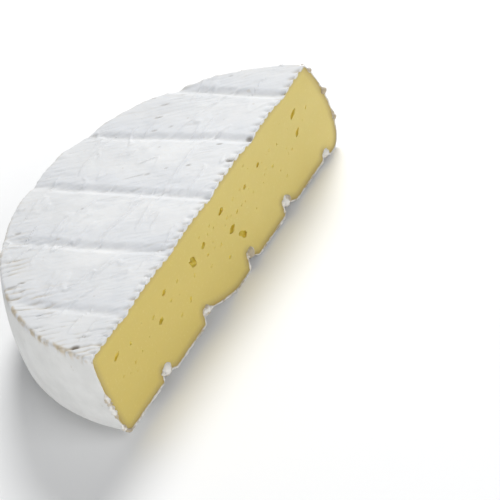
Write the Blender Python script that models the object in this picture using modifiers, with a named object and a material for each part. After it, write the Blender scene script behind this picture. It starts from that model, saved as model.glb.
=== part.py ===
"""Half a wheel of double cream cheese, cut just beside its middle.

Metres, +Z up. Every shape is laid out from the centre of the wheel's top, with X along the cut, Y towards
the back of the rind and Z up. The layout empty then lifts it all, so that the underside rests on z = 0 and
the origin is below the middle of the half's own box.
"""

import math
import random

import bmesh
import bpy
from mathutils import Matrix

MM = 0.001

# Layout: where the centre of the wheel's top stands over the origin
TOP_CENTRE = (-3.0 * MM, -43.2 * MM, 35.2 * MM)

# Wheel
WHEEL_RADIUS = 70.0 * MM
REST_DEPTH = 35.2 * MM
RIM_DEPTH = 32.0 * MM
SIDE_BULGE = 1.2 * MM
SIDE_SPREAD = 1.1 * MM
BACK_STRETCH = 1.023
LEAN = (4.0 * MM, 5.9 * MM)
FAR_END_X = 52.0 * MM
FAR_END_RUN = 16.0 * MM
FAR_END_SAG = 0.105
FAR_END_BULGE = 1.7 * MM
FAR_END_TUCK = 1.8 * MM
TUCK_START = 0.7
SHOULDER = 2.4 * MM
HEEL = 4.4 * MM
PILLOW_SAG = 6.2 * MM
PILLOW_RUN = 24.0 * MM
CROWN_SPARE = 1.1 * MM
WHEEL_SEGMENTS = 104

# Cut
CUT_OFFSET = 8.1 * MM

# Top: its level beside the rind, its dip towards the far end of the cut, and the swell between marks
TOP_RISE = 0.9 * MM
FAR_TOP_DIP = 0.45 * MM
FAR_DIP_START = 44.0 * MM
FAR_DIP_RUN = 12.0 * MM
FAR_DIP_BACK = 40.0 * MM
TOP_SWELL = 0.25 * MM
SWELL_ACROSS = 17.0 * MM
SWELL_BACK = 29.0 * MM
SWELL_RUN = 30.0 * MM

# Rack grooves pressed into the top: x at the cut, lean towards the back, depth
TOP_GROOVES = (
    (-49.3 * MM, -0.030, 0.8 * MM),
    (-21.4 * MM, -0.066, 0.9 * MM),
    (3.8 * MM, -0.050, 1.0 * MM),
    (31.6 * MM, -0.090, 1.0 * MM),
    (54.0 * MM, -0.035, 1.1 * MM),
)
GROOVE_SIDE = 3.0 * MM
GROOVE_WIDE_SIDE = 9.0 * MM
GROOVE_SHARE = 0.55
GROOVE_RIM_SHARE = 0.4
GROOVE_RIM_RUN = 10.0 * MM

# Rack rods pressed into the underside: x at the cut, then depth, run and the sag of the lobe beyond it
UNDER_LEAN = -0.050
ROD_NOTCHES = (
    (-43.3 * MM, 4.6 * MM, 7.0 * MM, 32.5 * MM),
    (-16.8 * MM, 7.5 * MM, 20.0 * MM, 35.2 * MM),
    (11.6 * MM, 5.2 * MM, 6.0 * MM, 34.3 * MM),
    (36.6 * MM, 5.2 * MM, 8.0 * MM, 34.2 * MM),
    (64.0 * MM, 3.4 * MM, 4.5 * MM, 35.2 * MM),
)
FIRST_LOBE_DEPTH = 31.8 * MM
NOTCH_WALL = 1.3 * MM
INNER_NOTCH_WALL = 4.0 * MM
INNER_NOTCH_DEPTH = 4.5 * MM
INNER_NOTCH_RUN = 9.0 * MM
INNER_SAG_RUN = 16.0 * MM

# Mat marks: short slits left in the top by the woven mat
MAT_PITCH = 3.4 * MM
MAT_DEPTH = 0.55 * MM
MAT_WIDTH = 1.3 * MM
MAT_ANGLE = math.radians(-64.0)
EDGE_MARK_LENGTH = (3.6 * MM, 5.6 * MM)
TOP_MARK_LENGTH = (5.0 * MM, 9.0 * MM)
TOP_MARKS = 60

# Eyes in the cut face: x, z, long and short diameter, slant in degrees
MAIN_EYES = (
    (9.2, -17.0, 3.8, 2.3, 27),
    (13.2, -22.3, 4.8, 2.4, -42),
    (-13.3, -10.9, 4.3, 3.0, -50),
    (7.1, -8.2, 3.0, 1.8, 12),
    (55.0, -15.9, 3.2, 1.8, 32),
    (56.2, -9.1, 4.7, 1.7, 18),
    (-6.0, -10.5, 2.9, 1.6, 16),
    (-35.7, -14.7, 2.6, 1.9, 15),
    (-58.9, -7.8, 3.6, 1.4, 20),
    (-30.1, -8.5, 2.3, 1.5, 20),
    (21.4, -10.5, 1.8, 1.3, 25),
    (31.1, -9.6, 2.0, 1.4, 15),
)
SMALL_EYES = 30
SMALL_EYE_SIZE = (1.2 * MM, 2.0 * MM)
SMALL_EYE_SHARE = 0.75
EYE_SINK = 0.35

# Colours
RIND_COLOUR = (0.72, 0.73, 0.74, 1.0)
PASTE_COLOUR = (0.60, 0.46, 0.14, 1.0)


def ease(value):
    """Goes smoothly from 0 to 1 as value does."""
    value = min(max(value, 0.0), 1.0)
    return value * value * (3.0 - 2.0 * value)


def mix(start, end, share):
    return start + (end - start) * share


def clear_scene():
    for thing in list(bpy.data.objects):
        bpy.data.objects.remove(thing, do_unlink=True)


def new_collection(name):
    collection = bpy.data.collections.new(name)
    bpy.context.scene.collection.children.link(collection)
    return collection


def new_material(name, colour, roughness, subsurface):
    material = bpy.data.materials.new(name)
    material.use_nodes = True
    surface = material.node_tree.nodes["Principled BSDF"]
    surface.inputs["Base Color"].default_value = colour
    surface.inputs["Roughness"].default_value = roughness
    surface.inputs["Metallic"].default_value = 0.0
    surface.inputs["Subsurface Weight"].default_value = subsurface
    return material


def add_object(name, mesh, collection, parent, material=None):
    thing = bpy.data.objects.new(name, mesh)
    collection.objects.link(thing)
    thing.parent = parent
    if material and not mesh.materials:
        mesh.materials.append(material)
    return thing


def make_cutter(thing):
    thing.hide_render = True
    thing.display_type = "WIRE"


def side_radius(depth):
    """Radius of the rind's side at a share of the rim's depth: it bellies out and spreads downwards."""
    return WHEEL_RADIUS + SIDE_BULGE * 4.0 * depth * (1.0 - depth) + SIDE_SPREAD * depth


def wheel_profile():
    """Half section of the wheel, from the middle of its top, down its outer side, to the middle below."""
    crown = TOP_RISE + CROWN_SPARE
    side_top = TOP_RISE - 0.8 * SHOULDER
    points = [(0.0, crown), (WHEEL_RADIUS * 0.5, crown), (WHEEL_RADIUS - SHOULDER * 2.2, crown * 0.9)]
    for step in range(4):
        turn = math.radians(90.0 - step * 30.0)
        across = WHEEL_RADIUS - SHOULDER + SHOULDER * math.cos(turn)
        points.append((across, side_top + (crown * 0.6 - side_top) * math.sin(turn)))
    side_end = RIM_DEPTH - HEEL
    for step in range(1, 8):
        down = mix(-side_top, side_end, step / 7.0)
        points.append((side_radius(down / RIM_DEPTH), -down))
    heel_centre = side_radius(side_end / RIM_DEPTH) - HEEL
    for step in range(1, 5):
        turn = math.radians(step * 21.0)
        points.append((heel_centre + HEEL * math.cos(turn), -side_end - HEEL * math.sin(turn)))
    for share in (0.25, 0.36, 0.48, 0.67, 1.0):
        rounding = math.sin(math.radians(90.0) * share)
        points.append((WHEEL_RADIUS - PILLOW_RUN * share, -RIM_DEPTH - PILLOW_SAG * rounding ** 1.5))
    points.append((0.0, -RIM_DEPTH - PILLOW_SAG))
    return points


def slump(point):
    """Moves a point of the turned wheel to where the soft cheese has settled."""
    depth = max(-point.z / RIM_DEPTH, 0.0)
    far_share = ease((point.x - FAR_END_X) / FAR_END_RUN)
    sag = far_share * FAR_END_SAG * ease(depth)
    tuck = FAR_END_TUCK * ease((depth - TUCK_START) / (1.0 - TUCK_START))
    bulge = FAR_END_BULGE * max(4.0 * depth * (1.0 - depth), 0.0) - tuck
    return (
        point.x + LEAN[0] * depth + far_share * bulge,
        point.y * BACK_STRETCH + LEAN[1] * depth,
        point.z * (1.0 + sag),
    )


def turned_wheel(layout, collection, rind):
    """The whole wheel, turned from its half section and then settled."""
    profile = bpy.data.meshes.new("wheel_profile")
    points = [(across, 0.0, up) for across, up in wheel_profile()]
    edges = [(index, index + 1) for index in range(len(points) - 1)]
    profile.from_pydata(points, edges, [])
    guide = add_object("wheel_guide", profile, collection, layout)
    screw = guide.modifiers.new("Turn", "SCREW")
    screw.steps = WHEEL_SEGMENTS
    screw.render_steps = WHEEL_SEGMENTS
    screw.use_merge_vertices = True
    screw.merge_threshold = 0.00005
    depsgraph = bpy.context.evaluated_depsgraph_get()
    mesh = bpy.data.meshes.new_from_object(guide.evaluated_get(depsgraph))
    bpy.data.objects.remove(guide, do_unlink=True)
    shape = bmesh.new()
    shape.from_mesh(mesh)
    bmesh.ops.remove_doubles(shape, verts=shape.verts, dist=0.00005)
    for vert in shape.verts:
        vert.co = slump(vert.co)
    shape.to_mesh(mesh)
    shape.free()
    return add_object("cheese_half", mesh, collection, layout, rind)


def groove_height(across, back):
    """Height of the pressed top: level, with a trough along each rod, narrow within a wide shallow dip."""
    far_share = ease((across - FAR_DIP_START) / FAR_DIP_RUN) * ease(1.0 - back / FAR_DIP_BACK)
    height = TOP_RISE - FAR_TOP_DIP * far_share
    inside_rim = ease((WHEEL_RADIUS - math.hypot(across, back)) / GROOVE_RIM_RUN)
    for x_at_cut, lean, depth in TOP_GROOVES:
        offset = abs(across - x_at_cut - lean * (back - CUT_OFFSET))
        trough = mix(ease(1.0 - offset / GROOVE_WIDE_SIDE), ease(1.0 - offset / GROOVE_SIDE), GROOVE_SHARE)
        height -= depth * mix(GROOVE_RIM_SHARE, 1.0, inside_rim) * trough
    swell = TOP_SWELL * math.sin(across / SWELL_ACROSS + back / SWELL_BACK)
    return height + swell * ease(back / SWELL_RUN)


def under_height(across, back):
    """Height of the underside: flat lobes that sagged between the rods, thinner along the cut."""
    inward = ease((back - CUT_OFFSET) / INNER_SAG_RUN)
    lobe = FIRST_LOBE_DEPTH
    height = -mix(lobe, REST_DEPTH, inward)
    for x_at_cut, cut_depth, cut_run, next_lobe in ROD_NOTCHES:
        offset = across - x_at_cut - UNDER_LEAN * (back - CUT_OFFSET)
        wall = mix(NOTCH_WALL, INNER_NOTCH_WALL, inward)
        if offset < -wall:
            break
        beyond = -mix(next_lobe, REST_DEPTH, inward)
        depth = mix(cut_depth, INNER_NOTCH_DEPTH, inward)
        if offset < 0.0:
            return mix(height, beyond + depth, ease(1.0 + offset / wall))
        run = mix(cut_run, INNER_NOTCH_RUN, inward)
        height = beyond + depth * max(1.0 - offset / run, 0.0) ** 1.5
    return height


def crowded_columns(lines, offsets, back):
    """Places across the block: some beside each line, as far off as offsets say, and two in each gap."""
    places = []
    for x_at_cut, lean in lines:
        middle = x_at_cut + lean * (back - CUT_OFFSET)
        group = [middle + offset for offset in offsets]
        if places:
            places += [mix(places[-1], group[0], share) for share in (1.0 / 3.0, 2.0 / 3.0)]
        places += group
    margin = WHEEL_RADIUS * 1.25
    return [-margin, mix(-margin, places[0], 0.7)] + places + [mix(places[-1], margin, 0.3), margin]


def moulding_block(name, lines, offsets, height_at, back_of_block, rows, collection, layout, rind):
    """A block with one face shaped by height_at, pressed into the cheese from above or below."""
    near = -12.0 * MM
    far = WHEEL_RADIUS * 1.25
    columns = len(crowded_columns(lines, offsets, near))
    shape = bmesh.new()
    bmesh.ops.create_grid(shape, x_segments=columns - 1, y_segments=rows, size=1.0)
    for vert in shape.verts:
        column = round((vert.co.x + 1.0) / 2.0 * (columns - 1))
        back = mix(near, far, (vert.co.y + 1.0) / 2.0)
        across = crowded_columns(lines, offsets, back)[column]
        vert.co = (across, back, height_at(across, back))
    drawn = bmesh.ops.extrude_face_region(shape, geom=list(shape.faces))
    for vert in drawn["geom"]:
        if isinstance(vert, bmesh.types.BMVert):
            vert.co.z = back_of_block
    bmesh.ops.recalc_face_normals(shape, faces=shape.faces)
    mesh = bpy.data.meshes.new(name)
    shape.to_mesh(mesh)
    shape.free()
    block = add_object(name, mesh, collection, layout, rind)
    make_cutter(block)
    return block


def knife_block(collection, layout, paste):
    """The half that the knife takes away."""
    width = WHEEL_RADIUS * 1.4
    shape = bmesh.new()
    bmesh.ops.create_cube(shape, size=1.0)
    for vert in shape.verts:
        vert.co = (vert.co.x * 2.0 * width, (vert.co.y - 0.5) * width + CUT_OFFSET, vert.co.z * width)
    mesh = bpy.data.meshes.new("knife")
    shape.to_mesh(mesh)
    shape.free()
    block = add_object("knife", mesh, collection, layout, paste)
    make_cutter(block)
    return block


def eye_cutter(name, place, long_size, short_size, slant, collection, layout, paste):
    """A gas bubble that the cut has opened: an oval ball, turned in the plane of the cut."""
    across, up = place
    fine = 2 if long_size > 2.5 * MM else 1
    turn = Matrix.Rotation(-slant, 4, "Y")
    size = Matrix.Diagonal((long_size / 2.0, short_size / 2.0, short_size / 2.0, 1.0))
    sink = short_size * EYE_SINK * 0.5
    middle = Matrix.Translation((across, CUT_OFFSET + sink, up))
    shape = bmesh.new()
    bmesh.ops.create_icosphere(shape, subdivisions=fine, radius=1.0, matrix=middle @ turn @ size)
    mesh = bpy.data.meshes.new(name)
    shape.to_mesh(mesh)
    shape.free()
    ball = add_object(name, mesh, collection, layout, paste)
    make_cutter(ball)


def eye_places():
    """The large eyes where they show, then small ones scattered in the middle band, clear of the rest."""
    eyes = [
        ((across * MM, up * MM), long_size * MM, short_size * MM, math.radians(slant))
        for across, up, long_size, short_size, slant in MAIN_EYES
    ]
    draw = random.Random(7)
    while len(eyes) < len(MAIN_EYES) + SMALL_EYES:
        size = draw.uniform(*SMALL_EYE_SIZE)
        place = (draw.gauss(5.0 * MM, 30.0 * MM), draw.gauss(-14.5 * MM, 5.0 * MM))
        slant = draw.uniform(0.1, 0.7)
        inside = abs(place[0]) < WHEEL_RADIUS - 7.0 * MM and -25.0 * MM < place[1] < -4.0 * MM
        clear = all(math.dist(place, other) > (size + long_size) * 0.75 for other, long_size, _, _ in eyes)
        if inside and clear:
            eyes.append((place, size, size * SMALL_EYE_SHARE, slant))
    return eyes


def mat_mark(name, place, length, angle, height, collection, layout, rind):
    """A slit of the mat: a slim spindle that lies half sunk in the top."""
    turn = Matrix.Rotation(angle, 4, "Z")
    size = Matrix.Diagonal((length / 2.0, MAT_WIDTH / 2.0, MAT_DEPTH, 1.0))
    shape = bmesh.new()
    middle = Matrix.Translation((place[0], place[1], height))
    bmesh.ops.create_uvsphere(shape, u_segments=6, v_segments=4, radius=1.0, matrix=middle @ turn @ size)
    mesh = bpy.data.meshes.new(name)
    shape.to_mesh(mesh)
    shape.free()
    spindle = add_object(name, mesh, collection, layout, rind)
    make_cutter(spindle)


def mat_marks():
    """A row of slits along the cut edge, a band near the rind's left side, and a few across the top."""
    draw = random.Random(11)
    marks = []
    count = int(1.84 * WHEEL_RADIUS / MAT_PITCH)
    for number in range(count):
        across = -0.92 * WHEEL_RADIUS + (number + draw.uniform(-0.2, 0.2)) * MAT_PITCH
        length = draw.uniform(*EDGE_MARK_LENGTH)
        marks.append(((across, CUT_OFFSET + length * 0.3), length, MAT_ANGLE + draw.uniform(-0.15, 0.15)))
    while len(marks) < count + TOP_MARKS:
        around = math.radians(draw.uniform(75.0, 172.0))
        out = WHEEL_RADIUS * draw.uniform(0.35, 0.93)
        place = (out * math.cos(around), out * math.sin(around))
        length = draw.uniform(*TOP_MARK_LENGTH)
        clear = all(math.dist(place, other) > 5.0 * MM for other, _, _ in marks)
        if clear and place[1] > CUT_OFFSET + length * 0.6:
            marks.append((place, length, MAT_ANGLE + draw.uniform(-0.2, 0.2)))
    return marks


def cut_away(thing, name, cutter=None, collection=None):
    """A difference with one cutter or with all those in a collection."""
    cut = thing.modifiers.new(name, "BOOLEAN")
    cut.operation = "DIFFERENCE"
    cut.solver = "EXACT"
    cut.material_mode = "TRANSFER"
    if collection:
        cut.operand_type = "COLLECTION"
        cut.collection = collection
    else:
        cut.object = cutter


def build():
    clear_scene()
    parts = new_collection("double_cream_cheese")
    cutters = new_collection("cutters")
    eye_cutters = new_collection("eye_cutters")
    mark_cutters = new_collection("mark_cutters")
    layout = bpy.data.objects.new("layout", None)
    parts.objects.link(layout)
    layout.location = TOP_CENTRE
    rind = new_material("rind", RIND_COLOUR, 0.85, 0.1)
    paste = new_material("paste", PASTE_COLOUR, 0.5, 0.2)

    cheese = turned_wheel(layout, parts, rind)

    groove_lines = [(x_at_cut, lean) for x_at_cut, lean, _ in TOP_GROOVES]
    groove_offsets = [offset * MM for offset in (-6.0, -2.7, -1.3, 0.0, 1.3, 2.7, 6.0)]
    press = moulding_block(
        "press", groove_lines, groove_offsets, groove_height, 8.0 * MM, 11, cutters, layout, rind
    )
    rod_lines = [(x_at_cut, UNDER_LEAN) for x_at_cut, _, _, _ in ROD_NOTCHES]
    rod_offsets = [offset * MM for offset in (-3.6, -1.4, -0.6, 0.1, 1.2, 3.0, 5.5, 9.0)]
    rack = moulding_block(
        "rack", rod_lines, rod_offsets, under_height, -48.0 * MM, 18, cutters, layout, rind
    )
    knife = knife_block(cutters, layout, paste)
    for number, (place, long_size, short_size, slant) in enumerate(eye_places()):
        eye_cutter(f"eye_{number:02d}", place, long_size, short_size, slant, eye_cutters, layout, paste)
    for number, (place, length, angle) in enumerate(mat_marks()):
        height = groove_height(*place) + MAT_DEPTH * 0.15
        mat_mark(f"mark_{number:02d}", place, length, angle, height, mark_cutters, layout, rind)

    cut_away(cheese, "Press", cutter=press)
    cut_away(cheese, "Rack", cutter=rack)
    cut_away(cheese, "Mat marks", collection=mark_cutters)
    cut_away(cheese, "Knife", cutter=knife)
    cut_away(cheese, "Eyes", collection=eye_cutters)
    cheese.data.shade_smooth()
    cheese.data.set_sharp_from_angle(angle=math.radians(35.0))


build()
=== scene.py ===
"""Half a wheel of double cream cheese: the looks.

Everything is laid out in metres from the centre of the wheel's top, as the solid model is, with X along
the cut, Y towards the back of the rind and Z up. The meshes are moved to their place at the end.
"""

import math
import random

import bmesh
import bpy
import numpy as np
from mathutils import Matrix, Vector, kdtree, noise


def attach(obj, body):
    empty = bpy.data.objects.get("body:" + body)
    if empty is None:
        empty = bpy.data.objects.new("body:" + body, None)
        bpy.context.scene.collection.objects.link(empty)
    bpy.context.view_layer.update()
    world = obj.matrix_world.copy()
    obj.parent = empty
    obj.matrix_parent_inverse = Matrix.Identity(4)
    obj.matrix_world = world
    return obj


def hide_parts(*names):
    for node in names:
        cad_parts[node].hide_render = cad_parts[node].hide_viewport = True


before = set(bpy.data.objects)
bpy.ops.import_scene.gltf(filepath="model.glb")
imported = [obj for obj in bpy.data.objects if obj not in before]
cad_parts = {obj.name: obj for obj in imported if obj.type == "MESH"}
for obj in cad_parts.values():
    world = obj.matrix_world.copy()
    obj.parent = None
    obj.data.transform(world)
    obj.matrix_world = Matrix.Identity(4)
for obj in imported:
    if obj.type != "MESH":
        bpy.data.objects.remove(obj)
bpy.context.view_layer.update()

MM = 0.001

# Layout: where the centre of the wheel's top stands over the origin
TOP_CENTRE = Vector((-3.0 * MM, -43.2 * MM, 35.2 * MM))

# Wheel
WHEEL_RADIUS = 70.0 * MM
REST_DEPTH = 35.2 * MM
RIM_DEPTH = 32.0 * MM
SIDE_BULGE = 1.2 * MM
SIDE_SPREAD = 1.1 * MM
BACK_STRETCH = 1.023
LEAN = (4.0 * MM, 5.9 * MM)
FAR_END_X = 52.0 * MM
FAR_END_RUN = 16.0 * MM
FAR_END_SAG = 0.105
FAR_END_BULGE = 1.7 * MM
FAR_END_TUCK = 1.8 * MM
SHOULDER = 1.1 * MM
HEEL = 4.4 * MM
PILLOW_SAG = 6.2 * MM
PILLOW_RUN = 24.0 * MM
CUT_OFFSET = 8.1 * MM

# Top: its level beside the rind, its dip towards the far end of the cut, and the swell between marks
TOP_RISE = 0.9 * MM
FAR_TOP_DIP = 0.45 * MM
FAR_DIP_START = 44.0 * MM
FAR_DIP_RUN = 12.0 * MM
FAR_DIP_BACK = 40.0 * MM
TOP_SWELL = 0.25 * MM
SWELL_ACROSS = 17.0 * MM
SWELL_BACK = 29.0 * MM
SWELL_RUN = 30.0 * MM

# Rack grooves pressed into the top: x at the cut, lean towards the back, depth
TOP_GROOVES = (
    (-49.3 * MM, -0.030, 0.8 * MM),
    (-21.4 * MM, -0.066, 0.9 * MM),
    (3.8 * MM, -0.050, 1.0 * MM),
    (31.6 * MM, -0.090, 1.0 * MM),
    (54.0 * MM, -0.035, 1.1 * MM),
)
GROOVE_SIDE = 3.0 * MM
GROOVE_WIDE_SIDE = 9.0 * MM
GROOVE_SHARE = 0.55
GROOVE_RIM_SHARE = 0.8
GROOVE_RIM_RUN = 10.0 * MM

# Rack rods pressed into the underside: x at the cut, then depth, run and the sag of the lobe beyond it
UNDER_LEAN = -0.050
ROD_NOTCHES = (
    (-43.3 * MM, 4.6 * MM, 7.0 * MM, 32.5 * MM),
    (-16.8 * MM, 7.5 * MM, 20.0 * MM, 35.2 * MM),
    (11.6 * MM, 5.2 * MM, 6.0 * MM, 34.3 * MM),
    (36.6 * MM, 5.2 * MM, 8.0 * MM, 34.2 * MM),
    (64.0 * MM, 3.4 * MM, 4.5 * MM, 35.2 * MM),
)
FIRST_LOBE_DEPTH = 31.8 * MM
NOTCH_WALL = 1.3 * MM
INNER_NOTCH_WALL = 4.0 * MM
INNER_NOTCH_DEPTH = 4.5 * MM
INNER_NOTCH_RUN = 9.0 * MM
INNER_SAG_RUN = 16.0 * MM

# Rind and paste, and the curls of rind along the notches' roofs
RIND_THICKNESS = 0.6 * MM
RIND_UNEVENNESS = 0.3 * MM
RIND_DEPTH = 1.4 * MM
PASTE_INSET = 0.15 * MM
PASTE_DEPTH = 0.95 * MM
CURL_STEPS = 34
CURL_LENGTH = 38.0 * MM
CURL_RADII = (2.7 * MM, 2.2 * MM, 2.3 * MM, 2.6 * MM, 1.9 * MM)
CUT_RECESS = 0.08 * MM
SPINE_REACH = 52.0 * MM
SPINE_DEPTH = 16.0 * MM

# Torn rind on the cut's edges: how far in and how fine its line is, the heights of its thicker bits, then
# the radii of thin and thick bits and how far a thick bit runs
TORN_INSET = 0.2 * MM
TORN_STEP = 0.4 * MM
NEAR_BITS = (-15.2 * MM, -17.6 * MM, -21.5 * MM, -28.8 * MM)
FAR_BITS = (-3.4 * MM, -14.5 * MM, -25.2 * MM)
NEAR_TORN = (NEAR_BITS, 0.14 * MM, 1.05 * MM, 2.0 * MM)
FAR_TORN = (FAR_BITS, 0.16 * MM, 0.8 * MM, 1.3 * MM)
LOW_TORN = (0.26 * MM, 0.7 * MM)

# Rows of points over the top, down the side and over the underside, and the points along them
TOP_ROWS = 178
SIDE_ROWS = 32
UNDER_ROWS = 150
SHOULDER_ROWS = 5
HEEL_ROWS = 9
HEEL_TURN = 84.0
RIND_COLUMNS = (500, 0.36)
RIND_INSIDE_COLUMNS = (80, 0.8)
PASTE_COLUMNS = (170, 0.6)
EDGE_COLUMNS = (2, 1.0)

# Mat marks: pitch and direction of the ribs, the kinds of slits and ripples, and where they show
MAT_PITCH = 3.05 * MM
RIM_PITCH = 2.15 * MM
MAT_ANGLE = math.radians(-64.0)
EDGE_SLITS = {"Presence": 0.74, "Slit length": 9.0 * MM, "Half width": 0.95 * MM, "Seed": 2.0}
RIM_SLITS = {
    "Pitch": RIM_PITCH, "Half width": 0.62 * MM, "Presence": 0.5, "Seed": 5.0, "Wander": 3.0 * MM,
    "Slit length": 12.0 * MM,
}
OPEN_SLITS = {"Pitch": 2.5 * MM, "Half width": 0.5 * MM, "Presence": 0.42, "Seed": 9.0}
LONG_RIPPLES = {"Seed": 1.0}
WIDE_RIPPLES = {"Length": 9.0 * MM, "Width": 2.2 * MM, "Seed": 4.0}
NEAR_RIM = (54.0 * MM, 67.0 * MM)
NEAR_RIM_RUN = 30.0 * MM
NEAR_EDGE = (CUT_OFFSET + 2.8 * MM, CUT_OFFSET + 0.3 * MM)
NEAR_LEFT = (-12.0 * MM, -50.0 * MM)
NICK_DEPTH = 0.35 * MM
ON_SHOULDER = (-2.4 * MM, -0.4 * MM)
CREASE_ANGLE = math.radians(-12.0)

# Nicks in the bloom where brown rind shows: x, y, length, width and strength
NICKS = (
    (-65.9, 15.5, 3.2, 2.1, 1.0),
    (44.1, 46.2, 3.8, 0.9, 0.5),
    (37.6, 44.9, 3.4, 0.9, 0.6),
    (31.6, 43.4, 2.6, 0.8, 0.5),
    (8.9, 37.6, 8.0, 0.6, 0.35),
    (10.4, 33.8, 2.4, 1.0, 0.35),
    (27.9, 17.0, 2.4, 1.0, 0.65),
    (16.3, 21.9, 2.0, 1.0, 0.55),
    (32.4, 8.9, 2.6, 1.6, 0.9),
    (20.2, 9.2, 2.6, 1.5, 0.85),
    (50.2, 42.8, 2.2, 0.7, 0.4),
    (46.6, 52.0, 2.2, 0.8, 0.45),
    (-42.5, 49.0, 3.0, 0.9, 0.7),
    (-44.5, 51.5, 5.5, 0.8, 0.5),
    (-21.4, 63.5, 2.6, 1.0, 0.6),
    (13.8, 28.6, 1.4, 0.7, 0.4),
    (-8.3, 47.0, 1.4, 0.8, 0.45),
    (23.5, 36.7, 1.2, 0.7, 0.35),
    (60.9, 30.6, 1.8, 0.7, 0.4),
    (34.0, 38.4, 1.8, 0.7, 0.4),
)

# Creases raised in the bloom: x and y of both ends
CREASES = (
    (-21.4, 51.1, -9.9, 49.2),
    (-13.2, 47.2, -2.1, 44.4),
    (7.1, 57.4, 24.5, 57.0),
    (7.7, 24.2, 26.5, 23.9),
    (25.9, 24.2, 37.2, 17.5),
    (40.1, 31.0, 56.0, 24.7),
    (-14.7, 24.2, -0.7, 24.9),
    (-21.5, 34.6, 2.1, 27.2),
    (-38.0, 27.0, -26.0, 24.0),
)

# Eyes in the cut face: x, z, long and short diameter, slant in degrees
MAIN_EYES = (
    (9.2, -17.0, 3.8, 2.3, 27),
    (13.2, -22.3, 4.8, 2.4, -42),
    (-13.3, -10.9, 4.3, 3.0, -50),
    (7.1, -8.2, 3.0, 1.8, 12),
    (55.0, -15.9, 3.2, 1.8, 32),
    (56.2, -9.1, 4.7, 1.7, 18),
    (-6.0, -10.5, 2.9, 1.6, 16),
    (-35.7, -14.7, 2.6, 1.9, 15),
    (-58.9, -7.8, 3.6, 1.4, 20),
    (-30.1, -8.5, 2.3, 1.5, 20),
    (21.4, -10.5, 1.8, 1.3, 25),
    (31.1, -9.6, 2.0, 1.4, 15),
)
SEEN_SMALL_EYES = (
    (14.2, -9.2), (17.3, -14.2), (24.3, -4.3), (49.8, -18.4), (37.9, -15.7), (43.1, -23.8), (63.3, -12.3),
    (-6.7, -7.0), (10.6, -13.1), (14.2, -14.2), (8.7, -12.2), (-0.4, -7.7), (1.7, -17.1), (-5.6, -14.8),
    (3.6, -23.6), (-5.8, -18.9), (-14.5, -15.1), (43.2, -11.2), (38.8, -9.9), (-38.3, -11.0), (-26.3, -20.8),
    (-28.3, -13.0), (-20.0, -20.0), (-22.9, -10.2), (-51.4, -9.4), (-52.5, -15.9), (-59.3, -15.3),
)
SMALL_EYES = 30
SEEN_EYE_SIZE = (1.2 * MM, 2.0 * MM)
SMALL_EYE_SIZE = (0.6 * MM, 1.2 * MM)
SMALL_EYES_ACROSS = (3.0 * MM, 30.0 * MM)
SMALL_EYES_UP = (-14.0 * MM, 4.5 * MM)
LOWEST_EYE = -25.0 * MM
HIGHEST_EYE = -4.0 * MM
LARGE_EYE = 2.5 * MM
MAIN_EYE_SUNK = 0.2
SMALL_EYE_SUNK = -0.14
EYE_LUMPS = 0.4

# View: the photograph's long lens, high on the left, rolled as the cheese leans
CAMERA_FROM_TOP = Vector((-528.8 * MM, -452.5 * MM, 494.2 * MM))
CAMERA_LOOK = Vector((0.61389, 0.52149, -0.59261))
CAMERA_ROLL = math.radians(20.44)
CAMERA_LENS = 205.74
SENSOR = 36.0
CAMERA_REACH = 20.0

# Studio: the lights' names, places, sizes and powers, then daylight, floor and exposure
LIGHTS = (
    ("key", (0.84, 0.215, 0.80), 0.5, 22.2),
    ("fill", (-0.3, -1.0, 0.5), 0.9, 9.9),
    ("side_fill", (-1.1, 0.0, 0.2), 0.6, 8.4),
)
DAYLIGHT_STRENGTH = 0.48
EXPOSURE = -0.75
SHARP_ANGLE = math.radians(50.0)
FLOOR_REACH = 3.0

# Surfaces
RIND_SURFACE = {
    "Roughness": 0.85, "Subsurface Weight": 0.2, "Subsurface Radius": (1.0, 0.9, 0.8),
    "Subsurface Scale": 0.5 * MM, "Sheen Weight": 0.12, "Specular IOR Level": 0.22,
}
PASTE_SURFACE = {
    "Roughness": 0.5, "Subsurface Weight": 0.35, "Subsurface Radius": (1.0, 0.7, 0.3),
    "Subsurface Scale": 1.5 * MM, "Specular IOR Level": 0.3,
}
FLOOR_SURFACE = {"Roughness": 0.9, "Specular IOR Level": 0.1}

# Colours
BLOOM_WHITE = (0.738, 0.74, 0.738, 1.0)
BLOOM_SHADE = (0.60, 0.612, 0.632, 1.0)
CLOUD_GREY = (0.62, 0.635, 0.66, 1.0)
# Grey towards the rim: painted shade standing in for the ribs' shadows there
RIM_SHADE_GREY = (0.60, 0.607, 0.615, 1.0)
# The side's tones: partly the smoother rind's own colour, partly painted shade set for how the side is lit
SIDE_PALE = (0.705, 0.705, 0.69, 1.0)
SIDE_DEEP = (0.635, 0.635, 0.62, 1.0)
# Grey on the grooves' far sides: painted shade, with some greyer pressed bloom
PRESSED_GREY_AND_SHADE = (0.66, 0.68, 0.72, 1.0)
SLIT_TAN = (0.53, 0.45, 0.32, 1.0)
EDGE_SLIT_TAN = (0.50, 0.42, 0.29, 1.0)
CORNER_TAN = (0.46, 0.37, 0.23, 1.0)
NICK_BROWN = (0.20, 0.165, 0.125, 1.0)
RIND_EDGE_TAN = (0.46, 0.36, 0.16, 1.0)
CURL_WHITE = (0.70, 0.685, 0.66, 1.0)
CURL_TAN = (0.44, 0.375, 0.275, 1.0)
FLECK_BROWN = (0.42, 0.36, 0.28, 1.0)
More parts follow.
